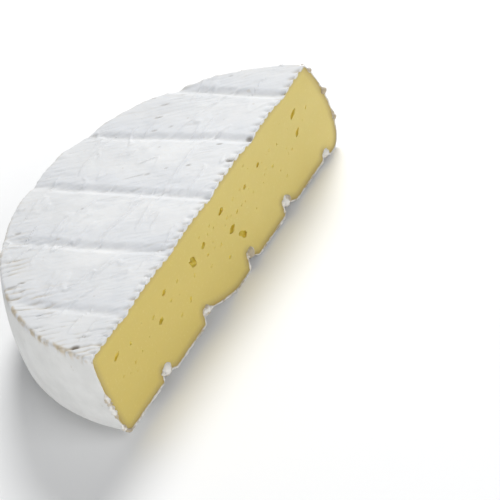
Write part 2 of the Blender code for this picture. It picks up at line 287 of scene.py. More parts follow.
# Paste at the near and far ends of the cut: lighter towards the far end as painted light
PASTE_NEAR = (0.612, 0.483, 0.134, 1.0)
PASTE_FAR = (0.648, 0.532, 0.178, 1.0)
PASTE_SHADE = (0.572, 0.452, 0.124, 1.0)
PASTE_BAND = (0.43, 0.33, 0.125, 1.0)
PASTE_LINE = (0.42, 0.29, 0.06, 1.0)
EYE_GOLD = (0.68, 0.53, 0.07, 1.0)
# Painted shade deep in the eyes
EYE_SHADE = (0.28, 0.22, 0.05, 1.0)
PASTE_FLECK = (0.85, 0.78, 0.50, 1.0)
FLOOR_LOW = (0.89, 0.89, 0.89, 1.0)
FLOOR_HIGH = (0.91, 0.91, 0.91, 1.0)
DAYLIGHT = (0.955, 0.978, 1.0, 1.0)


# Numbers

def ease(value):
    """Goes smoothly from 0 to 1 as value does."""
    value = np.clip(value, 0.0, 1.0)
    return value * value * (3.0 - 2.0 * value)


def mix(start, end, share):
    return start + (end - start) * share


# Form of the half wheel

def side_radius(share):
    """Radius of the side at a share of the rim's depth: it bellies out and spreads downwards."""
    return WHEEL_RADIUS + SIDE_BULGE * 4.0 * share * (1.0 - share) + SIDE_SPREAD * share


def ring(radius, depth, count):
    """Points round the rind at one radius and depth, from the near end of the cut to its far end."""
    share = max(depth, 0.0) / RIM_DEPTH
    start = math.asin((CUT_OFFSET - LEAN[1] * share) / (radius * BACK_STRETCH))
    turn = np.linspace(math.pi - start, start, count + 1)
    across = radius * np.cos(turn)
    back = BACK_STRETCH * radius * np.sin(turn) + LEAN[1] * share
    back[0] = back[-1] = CUT_OFFSET
    far_share = ease((across - FAR_END_X) / FAR_END_RUN)
    bulge = FAR_END_BULGE * max(4.0 * share * (1.0 - share), 0.0) - FAR_END_TUCK * ease((share - 0.7) / 0.3)
    down = -depth * (1.0 + far_share * FAR_END_SAG * ease(share))
    return np.stack([across + LEAN[0] * share + far_share * bulge, back, down], 1)


def under_height(across, back):
    """Height of the underside: flat lobes that sagged between the rods, thinner along the cut."""
    inward = ease((back - CUT_OFFSET) / INNER_SAG_RUN)
    height = -mix(FIRST_LOBE_DEPTH, REST_DEPTH, inward)
    for x_at_cut, cut_depth, cut_run, next_lobe in ROD_NOTCHES:
        offset = across - x_at_cut - UNDER_LEAN * (back - CUT_OFFSET)
        wall = mix(NOTCH_WALL, INNER_NOTCH_WALL, inward)
        beyond = -mix(next_lobe, REST_DEPTH, inward)
        depth = mix(cut_depth, INNER_NOTCH_DEPTH, inward)
        run = mix(cut_run, INNER_NOTCH_RUN, inward)
        past = beyond + depth * np.clip(1.0 - offset / run, 0.0, 1.0) ** 1.5
        rising = mix(height, beyond + depth, ease(1.0 + offset / wall))
        height = np.where(offset < -wall, height, np.where(offset < 0.0, rising, past))
    return height


def pillow_depth(inset):
    """Depth of the untouched underside at a distance inside the wheel's radius."""
    share = np.clip(inset / PILLOW_RUN, 0.0, 1.0)
    return RIM_DEPTH + PILLOW_SAG * np.sin(math.pi / 2.0 * share) ** 1.5


def shrunk(outline, middle, share):
    """The outline, drawn in towards a middle that lies on the cut."""
    points = middle + (outline - middle) * share
    points[0, 1] = points[-1, 1] = CUT_OFFSET
    return points


def half_wheel_rows(inset, columns, under_share):
    """Rows of points over the half wheel, each from one end of the cut to the other.

    The first row is the middle of the cut's top edge and the last the middle of its lower edge.
    """
    rows = []
    outline_radius = WHEEL_RADIUS - SHOULDER
    top = inset - TOP_RISE
    middle = np.array([0.0, CUT_OFFSET, -top])
    for step in range(TOP_ROWS):
        share = step / TOP_ROWS
        count = max(round(columns * share), 1) if step else 0
        rows.append(shrunk(ring(outline_radius, top, max(count, 1))[: count + 1], middle, share))
    for step in range(SHOULDER_ROWS):
        turn = math.radians(90.0 * step / SHOULDER_ROWS)
        radius = outline_radius + (SHOULDER - inset) * math.sin(turn)
        depth = SHOULDER - (SHOULDER - inset) * math.cos(turn) - TOP_RISE
        rows.append(ring(radius, depth, columns))
    side_end = RIM_DEPTH - HEEL
    for step in range(SIDE_ROWS):
        depth = mix(SHOULDER - TOP_RISE, side_end, step / SIDE_ROWS)
        rows.append(ring(side_radius(max(depth, 0.0) / RIM_DEPTH) - inset, depth, columns))
    heel_centre = side_radius(side_end / RIM_DEPTH) - HEEL
    for step in range(HEEL_ROWS):
        turn = math.radians(HEEL_TURN * step / (HEEL_ROWS - 1))
        radius = heel_centre + (HEEL - inset) * math.cos(turn)
        rows.append(ring(radius, side_end + (HEEL - inset) * math.sin(turn), columns))
    heel_radius = heel_centre + (HEEL - inset) * math.cos(math.radians(HEEL_TURN))
    under_middle = np.array([LEAN[0], CUT_OFFSET, -RIM_DEPTH])
    for step in range(1, UNDER_ROWS + 1):
        share = 1.0 - step / UNDER_ROWS
        count = max(round(columns * under_share * share), 1) if step < UNDER_ROWS else 0
        outline = ring(heel_radius, RIM_DEPTH, max(count, 1))[: count + 1]
        points = shrunk(outline, under_middle, share)
        sag = ease((points[:, 0] - LEAN[0] - FAR_END_X) / FAR_END_RUN) * FAR_END_SAG
        points[:, 2] = -pillow_depth(WHEEL_RADIUS - heel_radius * share) * (1.0 + sag) + inset
        rows.append(points)
    for points in rows:
        low = points[:, 2] < -RIM_DEPTH * 0.6
        floor = under_height(points[:, 0], points[:, 1]) + inset
        points[:, 2] = np.where(low, np.maximum(points[:, 2], floor), points[:, 2])
    return rows


# Meshes from rows

def along(points):
    """How far along the line each point is, from 0 to 1."""
    if len(points) < 2:
        return np.zeros(len(points))
    run = np.concatenate([[0.0], np.cumsum(np.linalg.norm(np.diff(points, axis=0), axis=1))])
    return run / run[-1]


def stitch(faces, upper, lower, upper_share, lower_share):
    """Triangles between two lines of vertices, which may have different numbers of them."""
    one, two = 0, 0
    last_one, last_two = len(upper) - 1, len(lower) - 1
    while one < last_one or two < last_two:
        step_one = one < last_one and (two == last_two or upper_share[one + 1] <= lower_share[two + 1])
        if step_one:
            faces.append((upper[one], lower[two], upper[one + 1]))
            one += 1
        else:
            faces.append((upper[one], lower[two], lower[two + 1]))
            two += 1


def number_rows(rows, start):
    """Vertex numbers for each row."""
    numbers = []
    for points in rows:
        numbers.append(list(range(start, start + len(points))))
        start += len(points)
    return numbers


def skin_rows(faces, rows, numbers):
    for index in range(len(rows) - 1):
        upper, lower = rows[index], rows[index + 1]
        stitch(
            faces,
            numbers[index],
            numbers[index + 1],
            np.linspace(0.0, 1.0, len(upper)),
            np.linspace(0.0, 1.0, len(lower)),
        )


def cut_outline(rows, numbers):
    """The outline's four stretches on the cut: top edge, near end, far end and lower edge."""
    first = [line[0] for line in numbers]
    last = [line[-1] for line in numbers]
    start = [points[0] for points in rows]
    end = [points[-1] for points in rows]
    top = (first[:TOP_ROWS + 1][::-1] + last[1:TOP_ROWS + 1],
           start[:TOP_ROWS + 1][::-1] + end[1:TOP_ROWS + 1])
    near = (first[TOP_ROWS:-UNDER_ROWS], start[TOP_ROWS:-UNDER_ROWS])
    far = (last[TOP_ROWS:-UNDER_ROWS], end[TOP_ROWS:-UNDER_ROWS])
    low = (first[-UNDER_ROWS - 1:] + last[-UNDER_ROWS - 1:-1][::-1],
           start[-UNDER_ROWS - 1:] + end[-UNDER_ROWS - 1:-1][::-1])
    return [(line, np.array(points)) for line, points in (top, near, far, low)]


def mesh_from(name, points, faces):
    mesh = bpy.data.meshes.new(name)
    mesh.from_pydata(np.asarray(points, float).tolist(), [], faces)
    mesh.update()
    return mesh


def show(name, mesh):
    piece = bpy.data.objects.new(name, mesh)
    bpy.context.scene.collection.objects.link(piece)
    return piece


def store(mesh, name, values):
    layer = mesh.attributes.new(name, "FLOAT", "POINT")
    layer.data.foreach_set("value", np.asarray(values, np.float32))


def with_edge(rows, edge_rows, unevenness=0.0, recess=0.0):
    """Gives each row the ends of the edge rows, which lie on the cut, drawn in unevenly."""
    for points, edge in zip(rows, edge_rows):
        for end in (0, -1):
            x, _, z = edge[end]
            spine = np.array([min(max(x, -SPINE_REACH), SPINE_REACH), CUT_OFFSET, -SPINE_DEPTH])
            inward = spine - edge[end]
            inward /= np.linalg.norm(inward)
            fine = noise.noise(Vector((x, 0.0, z)) / (1.1 * MM))
            lump = fine + noise.noise(Vector((x, 5.0, z)) / (3.0 * MM))
            points[end] = edge[end] + inward * unevenness * max(lump, -0.9)
            points[end, 1] = CUT_OFFSET + recess


def rind_mesh():
    """A closed skin: a fine outside, a coarser inside and the thin edge between them on the cut."""
    outer = half_wheel_rows(0.0, *RIND_COLUMNS)
    inner = half_wheel_rows(RIND_DEPTH, *RIND_INSIDE_COLUMNS)
    edge = half_wheel_rows(RIND_THICKNESS, *EDGE_COLUMNS)
    with_edge(inner, edge, unevenness=RIND_UNEVENNESS)
    outer_numbers = number_rows(outer, 0)
    outer_count = outer_numbers[-1][-1] + 1
    inner_numbers = number_rows(inner, outer_count)
    faces = []
    skin_rows(faces, outer, outer_numbers)
    inside = []
    skin_rows(inside, inner, inner_numbers)
    faces += [face[::-1] for face in inside]
    outer_edges = cut_outline(outer, outer_numbers)
    inner_edges = cut_outline(inner, inner_numbers)
    flips = (False, True, False, True)
    for (line, points), (inner_line, inner_points), flip in zip(outer_edges, inner_edges, flips):
        strip = []
        stitch(strip, line, inner_line, along(points), along(inner_points))
        faces += [face[::-1] for face in strip] if flip else strip
    points = np.concatenate(outer + inner)
    mesh = mesh_from("rind", points, faces)
    store(mesh, "outside", np.arange(len(points)) < outer_count)
    return mesh


def share_down(line, index):
    """How far down a line the point is, from 0 at its first point to 1 at its last."""
    return (line[index][2] - line[0][2]) / (line[-1][2] - line[0][2])


def paste_mesh():
    """A closed body just inside the rind, with a fine cut face."""
    rows = half_wheel_rows(PASTE_DEPTH, *PASTE_COLUMNS)
    edge = half_wheel_rows(PASTE_INSET, *EDGE_COLUMNS)
    with_edge(rows, edge, recess=CUT_RECESS)
    numbers = number_rows(rows, 0)
    faces = []
    skin_rows(faces, rows, numbers)
    top, near, far, low = cut_outline(rows, numbers)
    points = list(np.concatenate(rows))
    columns = 2 * TOP_ROWS
    top_at, low_at = along(top[1]), along(low[1])
    lines = [(top[0], top_at)]
    places = np.linspace(0.0, 1.0, columns + 1)
    top_line = np.stack([np.interp(places, top_at, top[1][:, axis]) for axis in range(3)], 1)
    low_line = np.stack([np.interp(places, low_at, low[1][:, axis]) for axis in range(3)], 1)
    for step in range(1, len(near[0]) - 1):
        left, right = near[1][step], far[1][step]
        share = mix(share_down(near[1], step), share_down(far[1], step), places)
        middle = mix(top_line, low_line, share[:, None])
        middle += mix(left - middle[0], right - middle[-1], places[:, None])
        middle[:, 1] = CUT_OFFSET + CUT_RECESS
        start = len(points)
        points += list(middle[1:-1])
        lines.append(([near[0][step]] + list(range(start, start + columns - 1)) + [far[0][step]], places))
    lines.append((low[0], low_at))
    front = []
    for (upper, upper_at), (lower, lower_at) in zip(lines[:-1], lines[1:]):
        stitch(front, upper, lower, upper_at, lower_at)
    faces += [face[::-1] for face in front]
    mesh = mesh_from("paste", points, faces)
    store(mesh, "outside", np.zeros(len(points)))
    return mesh


def evenly(points, spacing):
    """The line through the points, softened and walked in even steps."""
    run = np.concatenate([[0.0], np.cumsum(np.linalg.norm(np.diff(points, axis=0), axis=1))])
    places = np.linspace(0.0, run[-1], int(run[-1] / spacing) + 1)
    line = np.stack([np.interp(places, run, points[:, axis]) for axis in range(3)], 1)
    line[1:-1] = (line[:-2] + line[1:-1] * 2.0 + line[2:]) / 4.0
    return line


def lumps(point, coarse, fine):
    """Noise of two sizes at a point, about 0."""
    return noise.noise(Vector(point) / coarse) + 0.5 * noise.noise(Vector(point) / fine)


def bits(line, middles, thin, thick, run):
    """Radii along a line: thin, with a thicker bit at each of the heights, and uneven all along."""
    radii = []
    for point in line:
        swell = max(math.exp(-((point[2] - middle) / run) ** 2) for middle in middles)
        lump = lumps(point, 1.5 * MM, 0.7 * MM)
        radii.append(max(mix(thin, thick, swell) * (0.9 + 1.1 * lump), 0.03 * MM))
    return radii


def torn_edges():
    """Lines of torn rind along the cut's ends and lower edge, with their radii."""
    rows = half_wheel_rows(TORN_INSET, *EDGE_COLUMNS)
    _, near, far, low = (points for _, points in cut_outline(rows, number_rows(rows, 0)))
    edges = []
    for points, torn in ((near, NEAR_TORN), (far, FAR_TORN)):
        line = evenly(points, TORN_STEP)
        edges.append((line, bits(line, *torn)))
    line = evenly(low, TORN_STEP)
    radii = []
    for point in line:
        raised = float(ease((point[2] + 31.0 * MM) / (3.0 * MM)))
        lump = lumps(point, 1.4 * MM, 0.6 * MM)
        radii.append(max(mix(*LOW_TORN, raised) * (0.75 + 1.6 * lump), 0.05 * MM))
    edges.append((line, radii))
    return edges


def curls():
    """Lines of pinched rind along the notches' roofs, with their radii."""
    lines = []
    for (x_at_cut, _, _, _), thick in zip(ROD_NOTCHES, CURL_RADII):
        points, radii = [], []
        for step in range(CURL_STEPS):
            run = (step / (CURL_STEPS - 1)) ** 1.6 * CURL_LENGTH
            back = CUT_OFFSET - 0.45 * thick + run
            middle = x_at_cut + UNDER_LEAN * (back - CUT_OFFSET)
            roof = float(under_height(np.array(middle), np.array(back)))
            points.append((middle + 0.8 * thick, back, roof - 0.45 * thick))
            tip = min(run / (0.9 * thick), 1.0)
            taper = mix(1.0, 0.35, step / CURL_STEPS)
            radii.append(thick * math.sqrt(max(1.0 - (1.0 - tip) ** 2, 0.05)) * taper)
        lines.append((np.array(points), radii))
    return lines


def torn_rind():
    """All the lines of pinched and torn rind as one mesh of edges, with their radii."""
    shape = bpy.data.meshes.new("rind_curls")
    points, edges, radii = [], [], []
    for line, thick in curls() + torn_edges():
        start = len(points)
        points += [tuple(point) for point in line]
        edges += [(index, index + 1) for index in range(start, len(points) - 1)]
        radii += thick
    shape.from_pydata(points, edges, [])
    store(shape, "thick", radii)
    return shape


def checked(mesh):
    """Merges the few vertices that lie together and makes sure that faces point out."""
    shape = bmesh.new()
    shape.from_mesh(mesh)
    bmesh.ops.remove_doubles(shape, verts=shape.verts, dist=0.002 * MM)
    bmesh.ops.dissolve_degenerate(shape, edges=shape.edges, dist=0.001 * MM)
    bmesh.ops.triangulate(shape, faces=[face for face in shape.faces if len(face.verts) > 3])
    bmesh.ops.recalc_face_normals(shape, faces=shape.faces)
    if shape.calc_volume(signed=True) < 0.0:
        bmesh.ops.reverse_faces(shape, faces=shape.faces)
    open_edges = sum(not edge.is_manifold for edge in shape.edges)
    print(mesh.name, "faces", len(shape.faces), "open edges", open_edges)
    shape.to_mesh(mesh)
    shape.free()
    return mesh


# Node trees

class Field:
    """A value that flows through a node tree; sums written with it become nodes."""

    def __init__(self, tree, socket):
        self.tree = tree
        self.socket = socket

    def __add__(self, other):
        return calc("ADD", self, other)

    def __radd__(self, other):
        return calc("ADD", other, self)

    def __sub__(self, other):
        return calc("SUBTRACT", self, other)

    def __rsub__(self, other):
        return calc("SUBTRACT", other, self)

    def __mul__(self, other):
        return calc("MULTIPLY", self, other)

    def __rmul__(self, other):
        return calc("MULTIPLY", other, self)

    def __truediv__(self, other):
        return calc("DIVIDE", self, other)


class Made:
    """A node whose outputs are read, and whose inputs are fed, by name or number in brackets."""

    def __init__(self, tree, node):
        self.tree = tree
        self.node = node

    def __getitem__(self, name):
        return Field(self.tree, self.node.outputs[name])

    def __setitem__(self, name, value):
        if isinstance(value, Field):
            self.tree.links.new(value.socket, self.node.inputs[name])
        else:
            self.node.inputs[name].default_value = value


def put(tree, kind, feeds=None, **settings):
    """Adds a node, sets its properties and feeds its inputs."""
    made = Made(tree, tree.nodes.new(kind))
    for name, value in settings.items():
        setattr(made.node, name, value)
    for name, value in (feeds or {}).items():
        made[name] = value
    return made


def tree_of(*values):
    """The tree of the first field among the values."""
    return next(value.tree for value in values if isinstance(value, Field))


def calc(operation, *values, clamp=False):
    """One step of arithmetic on numbers."""
    feeds = dict(enumerate(values))
    return put(tree_of(*values), "ShaderNodeMath", feeds, operation=operation, use_clamp=clamp)[0]


def vector(operation, *values):
    """One step of arithmetic on vectors."""
    return put(tree_of(*values), "ShaderNodeVectorMath", dict(enumerate(values)), operation=operation)[0]


def measured(operation, *values):
    """A number from vectors: a length or a dot product."""
    made = put(tree_of(*values), "ShaderNodeVectorMath", dict(enumerate(values)), operation=operation)
    return made["Value"]


def scaled(direction, share):
    """The vector times a number."""
    return put(direction.tree, "ShaderNodeVectorMath", {0: direction, "Scale": share}, operation="SCALE")[0]


def smooth(value, low, high, to_low=0.0, to_high=1.0):
    """Goes smoothly from one level to another as the value goes from low to high."""
    feeds = {"Value": value, "From Min": low, "From Max": high, "To Min": to_low, "To Max": to_high}
    return put(value.tree, "ShaderNodeMapRange", feeds, interpolation_type="SMOOTHSTEP")["Result"]


def parts_of(position):
    """The position's three parts, by number."""
    return put(position.tree, "ShaderNodeSeparateXYZ", {0: position})


def joined(across, back, up=0.0):
    """A vector from its three parts."""
    return put(tree_of(across, back, up), "ShaderNodeCombineXYZ", {0: across, 1: back, 2: up})[0]


def noise_at(position, scale, detail=2.0, roughness=0.5):
    """Soft noise from 0 to 1 at the position."""
    feeds = {"Vector": position, "Scale": scale, "Detail": detail, "Roughness": roughness}
    return put(position.tree, "ShaderNodeTexNoise", feeds, noise_dimensions="3D")["Fac"]


def new_tree(name, kind, inputs, outputs):
    """A node tree with named sockets: inputs are (name, type, value) and outputs (name, type)."""
    tree = bpy.data.node_groups.new(name, kind)
    for label, socket_type, value in inputs:
        socket = tree.interface.new_socket(label, in_out="INPUT", socket_type=socket_type)
        if value is not None:
            socket.default_value = value
    for label, socket_type in outputs:
        tree.interface.new_socket(label, in_out="OUTPUT", socket_type=socket_type)
    return tree, put(tree, "NodeGroupInput"), put(tree, "NodeGroupOutput")


FLOAT = "NodeSocketFloat"
VECTOR = "NodeSocketVector"
GEOMETRY = "NodeSocketGeometry"
MATERIAL = "NodeSocketMaterial"


def turned(position, angle):
    """Distances along and across a direction on the top."""
    place = parts_of(position)
    cos_angle, sin_angle = math.cos(angle), math.sin(angle)
    length = place[0] * cos_angle + place[1] * sin_angle
    width = place[1] * cos_angle - place[0] * sin_angle
    return length, width


def ribs_group():
    """Ribs of the woven mat, broken into short slits: 1 in a slit's middle and 0 on the ribs."""
    inputs = [
        ("Position", VECTOR, None),
        ("Pitch", FLOAT, MAT_PITCH),
        ("Half width", FLOAT, 0.6 * MM),
        ("Slit length", FLOAT, 8.0 * MM),
        ("Presence", FLOAT, 0.5),
        ("Wander", FLOAT, 4.0 * MM),
        ("Seed", FLOAT, 0.0),
    ]
    tree, given, result = new_tree("mat_ribs", "GeometryNodeTree", inputs, [("Slit", FLOAT)])
    length, width = turned(given["Position"], MAT_ANGLE)
    place = parts_of(given["Position"])
    wander = noise_at(joined(place[0], place[1], given["Seed"]), 90.0) - 0.5
    width = width + wander * given["Wander"]
    ribs = width / given["Pitch"]
    number = calc("FLOOR", ribs)
    phase = calc("ABSOLUTE", calc("FRACT", ribs) - 0.5)
    off_middle = phase * given["Pitch"] / given["Half width"]
    trough = smooth(off_middle, 1.0, 0.0)
    slide = length / given["Slit length"]
    slit = noise_at(joined(slide, number * 7.31, given["Seed"]), 1.0, 1.0)
    wanted = 1.0 - given["Presence"]
    shown = smooth(slit, wanted - 0.1, wanted + 0.1)
    result["Slit"] = trough * shown
    return tree


def ripple_group():
    """Long soft ripples across a direction, about 0 on average."""
    inputs = [
        ("Position", VECTOR, None),
        ("Length", FLOAT, 6.0 * MM),
        ("Width", FLOAT, 1.0 * MM),
        ("Seed", FLOAT, 0.0),
    ]
    tree, given, result = new_tree("ripples", "GeometryNodeTree", inputs, [("Height", FLOAT)])
    length, width = turned(given["Position"], MAT_ANGLE)
    wander = noise_at(given["Position"], 60.0, 1.0) - 0.5
    width = width + wander * (3.0 * MM)
    flat = joined(length / given["Length"], width / given["Width"], given["Seed"])
    height = noise_at(flat, 1.0, 2.0, 0.5) - 0.5
    result["Height"] = height * 4.0
    return tree


def crease_group():
    """Thin raised creases that run roughly along the cut: 1 on a crease."""
    inputs = [
        ("Position", VECTOR, None),
        ("Length", FLOAT, 22.0 * MM),
        ("Width", FLOAT, 7.0 * MM),
        ("Seed", FLOAT, 0.0),
    ]
    tree, given, result = new_tree("creases", "GeometryNodeTree", inputs, [("Crease", FLOAT)])
    length, width = turned(given["Position"], CREASE_ANGLE)
    flat = joined(length / given["Length"], width / given["Width"], given["Seed"])
    level = noise_at(flat, 1.0, 1.5, 0.4) - 0.5
    ridge = smooth(calc("ABSOLUTE", level), 0.035, 0.0)
    shown = smooth(noise_at(given["Position"], 60.0, 1.0), 0.42, 0.58)
    result["Crease"] = ridge * shown
    return tree


def crease_line_group():
    """One raised crease between two points: 1 on its crest, tapering to its ends."""
    inputs = [
        ("Position", VECTOR, None),
        ("Start", VECTOR, None),
        ("End", VECTOR, None),
        ("Half width", FLOAT, 0.85 * MM),
        ("Wobble", FLOAT, 2.5 * MM),
    ]
    tree, given, result = new_tree("crease_line", "GeometryNodeTree", inputs, [("Crease", FLOAT)])
    place = parts_of(given["Position"])
    wobble = noise_at(given["Position"], 110.0, 2.0) - 0.5
    flat = joined(place[0], place[1] + wobble * given["Wobble"])
    run = vector("SUBTRACT", given["End"], given["Start"])
    offset = vector("SUBTRACT", flat, given["Start"])
    along = measured("DOT_PRODUCT", offset, run)
    share = calc("DIVIDE", along, measured("DOT_PRODUCT", run, run), clamp=True)
    away = measured("LENGTH", vector("SUBTRACT", offset, scaled(run, share)))
    crest = smooth(away / given["Half width"], 1.0, 0.0)
    taper = calc("SQRT", calc("SINE", share * math.pi))
    result["Crease"] = crest * taper
    return tree


def nick_group():
    """One slim nick along the mat's ribs: 1 in its middle."""
    inputs = [
        ("Position", VECTOR, None),
        ("Place", VECTOR, None),
        ("Half length", FLOAT, 1.5 * MM),
        ("Half width", FLOAT, 0.55 * MM),
    ]
    tree, given, result = new_tree("nick", "GeometryNodeTree", inputs, [("Mark", FLOAT)])
    offset = vector("SUBTRACT", given["Position"], given["Place"])
    length, width = turned(offset, MAT_ANGLE)
    length = calc("POWER", length / given["Half length"], 2.0)
    width = calc("POWER", width / given["Half width"], 2.0)
    away = calc("SQRT", length + width)
    result["Mark"] = smooth(away, 1.2, 0.4)
    return tree


def groove_group():
    """Depth of one rack groove at a position: narrow, within a wide shallow dip."""
    inputs = [
        ("Position", VECTOR, None),
        ("Place at the cut", FLOAT, 0.0),
        ("Lean", FLOAT, 0.0),
        ("Depth", FLOAT, 1.0 * MM),
        ("Wander", FLOAT, 1.6 * MM),
    ]
    outputs = [("Depth", FLOAT), ("Far side", FLOAT)]
    tree, given, result = new_tree("rack_groove", "GeometryNodeTree", inputs, outputs)
    place = parts_of(given["Position"])
    back = place[1] - CUT_OFFSET
    middle = given["Place at the cut"] + given["Lean"] * back
    flat = joined(place[0], place[1], 3.0)
    wander = (noise_at(flat, 60.0, 2.0) - 0.5) * given["Wander"]
    offset = place[0] - middle + wander
    away = calc("ABSOLUTE", offset)
    narrow = smooth(away, GROOVE_SIDE, 0.0)
    wide = smooth(away, GROOVE_WIDE_SIDE, 0.0)
    trough = narrow * GROOVE_SHARE + wide * (1.0 - GROOVE_SHARE)
    result["Depth"] = trough * given["Depth"]
    # The groove's gentle side beyond its middle faces away from the key light; its mask carries painted
    # shade
    far_side = smooth(offset, 0.0, 1.2 * MM) * smooth(offset, 13.0 * MM, 1.0 * MM)
    result["Far side"] = far_side
    return tree


def kept(geometry, name, value):
    """The geometry with a named value kept at each point."""
    feeds = {"Geometry": geometry, "Name": name, "Value": value}
    kind = "GeometryNodeStoreNamedAttribute"
    return put(geometry.tree, kind, feeds, data_type="FLOAT", domain="POINT")["Geometry"]


def relief_tree():
    """Presses the rack's grooves and the mat's marks into the rind and raises its uneven bloom."""
    inputs = [
        ("Geometry", GEOMETRY, None),
        ("Groove depth", FLOAT, 1.5),
        ("Edge slit depth", FLOAT, 0.6 * MM),
        ("Rim slit depth", FLOAT, 0.38 * MM),
        ("Ripple height", FLOAT, 0.11 * MM),
        ("Crease height", FLOAT, 0.55 * MM),
        ("Bloom height", FLOAT, 0.12 * MM),
        ("Swell", FLOAT, TOP_SWELL),
        ("Dents", FLOAT, 1.3 * MM),
        ("Edge follow", FLOAT, 0.2),
        ("Tooth drop", FLOAT, 0.8 * MM),
        ("Tooth lip", FLOAT, 0.3 * MM),
        ("Material", MATERIAL, None),
    ]
    tree, given, result = new_tree("rind_relief", "GeometryNodeTree", inputs, [("Geometry", GEOMETRY)])
    group = "GeometryNodeGroup"
    position = put(tree, "GeometryNodeInputPosition")[0]
    normal = put(tree, "GeometryNodeInputNormal")[0]
    outside = put(tree, "GeometryNodeInputNamedAttribute", {"Name": "outside"}, data_type="FLOAT")[0]
    place = parts_of(position)
    on_top = smooth(place[2], -3.0 * MM, 0.0)
    flat_place = joined(place[0], place[1])
    from_middle = measured("LENGTH", flat_place)

    groove = groove_group()
    level, pressed_and_shaded_side = 0.0, 0.0
    for x_at_cut, lean, depth in TOP_GROOVES:
        feeds = {"Position": position, "Place at the cut": x_at_cut, "Lean": lean, "Depth": depth}
        trough = put(tree, group, feeds, node_tree=groove)
        level = level - trough["Depth"]
        # The grooves' far sides, which face away from the key light, for painted shade
        pressed_and_shaded_side = calc("MAXIMUM", pressed_and_shaded_side, trough["Far side"])
    inside_rim = smooth(from_middle, WHEEL_RADIUS, WHEEL_RADIUS - GROOVE_RIM_RUN, GROOVE_RIM_SHARE, 1.0)
    level = level * given["Groove depth"] * inside_rim
    near_cut = smooth(place[1], FAR_DIP_BACK, 0.0)
    far_share = smooth(place[0], FAR_DIP_START, FAR_DIP_START + FAR_DIP_RUN)
    far_dip = far_share * near_cut * FAR_TOP_DIP
    level = level - far_dip
    wave = place[0] / SWELL_ACROSS + place[1] / SWELL_BACK
    swell = calc("SINE", wave) * smooth(place[1], 0.0, SWELL_RUN) * given["Swell"]
    dents = noise_at(position, 75.0, 2.0, 0.45) - 0.5
    dents = dents * smooth(place[1], CUT_OFFSET, SWELL_RUN) * given["Dents"]
    lifted = (level + swell + dents) * on_top
    feeds = {"Geometry": given["Geometry"], "Offset": joined(0.0, 0.0, lifted)}
    pressed = put(tree, "GeometryNodeSetPosition", feeds)[0]

    ribs = ribs_group()
    on_shoulder = smooth(place[2], *ON_SHOULDER)
    near_edge = smooth(place[1], *NEAR_EDGE)
    near_left = smooth(place[0], *NEAR_LEFT)
    uneven_run = (noise_at(position, 120.0, 1.0) - 0.5) * NEAR_RIM_RUN
    near_rim = smooth(from_middle + uneven_run, *NEAR_RIM)
    rim_share = near_rim * (0.3 + near_left * 0.7)
    edge_slit, rim_slit, open_slit = (
        put(tree, group, {"Position": position, **sizes}, node_tree=ribs)["Slit"]
        for sizes in (EDGE_SLITS, RIM_SLITS, OPEN_SLITS)
    )
    edge_slit = edge_slit * near_edge
    rim_slit = rim_slit * rim_share
    open_slit = open_slit * smooth(noise_at(position, 40.0, 1.0), 0.45, 0.65) * 0.55
    nick = nick_group()
    nicks = 0.0
    for across, back, long_size, wide, strength in NICKS:
        feeds = {
            "Position": flat_place, "Place": (across * MM, back * MM, 0.0),
            "Half length": long_size / 2.0 * MM, "Half width": wide / 2.0 * MM,
        }
        mark = put(tree, group, feeds, node_tree=nick)["Mark"] * strength
        nicks = calc("MAXIMUM", nicks, mark)
    sink = edge_slit * given["Edge slit depth"]
    other = calc("MAXIMUM", rim_slit, open_slit) * given["Rim slit depth"]
    sink = calc("MAXIMUM", sink, other)
    sink = sink + nicks * NICK_DEPTH

    ripples = ripple_group()
    long_ripples, wide_ripples = (
        put(tree, group, {"Position": position, **sizes}, node_tree=ripples)["Height"]
        for sizes in (LONG_RIPPLES, WIDE_RIPPLES)
    )
    rise = (long_ripples + wide_ripples) * given["Ripple height"]
    rise = rise * smooth(noise_at(position, 45.0, 1.0), 0.35, 0.65, 0.35, 1.2)
    creases = put(tree, group, {"Position": position}, node_tree=crease_group())["Crease"] * 0.7
    crease_line = crease_line_group()
    for start_x, start_y, end_x, end_y in CREASES:
        feeds = {
            "Position": position,
            "Start": (start_x * MM, start_y * MM, 0.0),
            "End": (end_x * MM, end_y * MM, 0.0),
        }
        creases = calc("MAXIMUM", creases, put(tree, group, feeds, node_tree=crease_line)["Crease"])
    rise = rise + creases * given["Crease height"]
    marked = (rise - sink) * on_shoulder
    broad = noise_at(position, 130.0, 3.0, 0.55) - 0.5
    fine = noise_at(position, 620.0, 3.0, 0.6) - 0.5
    bloom = broad * 1.6 + fine * 0.8
    bloom = bloom * given["Bloom height"]
    lift = (bloom + marked) * outside
    off_cut = smooth(place[1], CUT_OFFSET, CUT_OFFSET + 0.5 * MM)
    push = vector("NORMALIZE", vector("MULTIPLY", normal, joined(1.0, off_cut, 1.0)))
    push = scaled(push, lift)
    at_cut = calc("LESS_THAN", place[1], CUT_OFFSET + 2.0 * CUT_RECESS)
    edge_top = smooth(place[2], -1.2 * MM, -0.4 * MM)
    inner_edge = at_cut * edge_top * (1.0 - outside)
    between_slits = 1.0 - edge_slit
    drop = between_slits * given["Tooth drop"]
    follow = marked * given["Edge follow"] - drop
    lip = between_slits * at_cut * edge_top * outside * given["Tooth lip"] * -1.0
    push = vector("ADD", push, joined(0.0, lip, follow * inner_edge))
    shaped = put(tree, "GeometryNodeSetPosition", {"Geometry": pressed, "Offset": push})[0]
    shaped = kept(shaped, "slit", calc("MAXIMUM", rim_slit, open_slit) * on_shoulder)
    shaped = kept(shaped, "edge_slit", edge_slit * near_edge * on_shoulder)
    shaped = kept(shaped, "nick", nicks * on_shoulder)
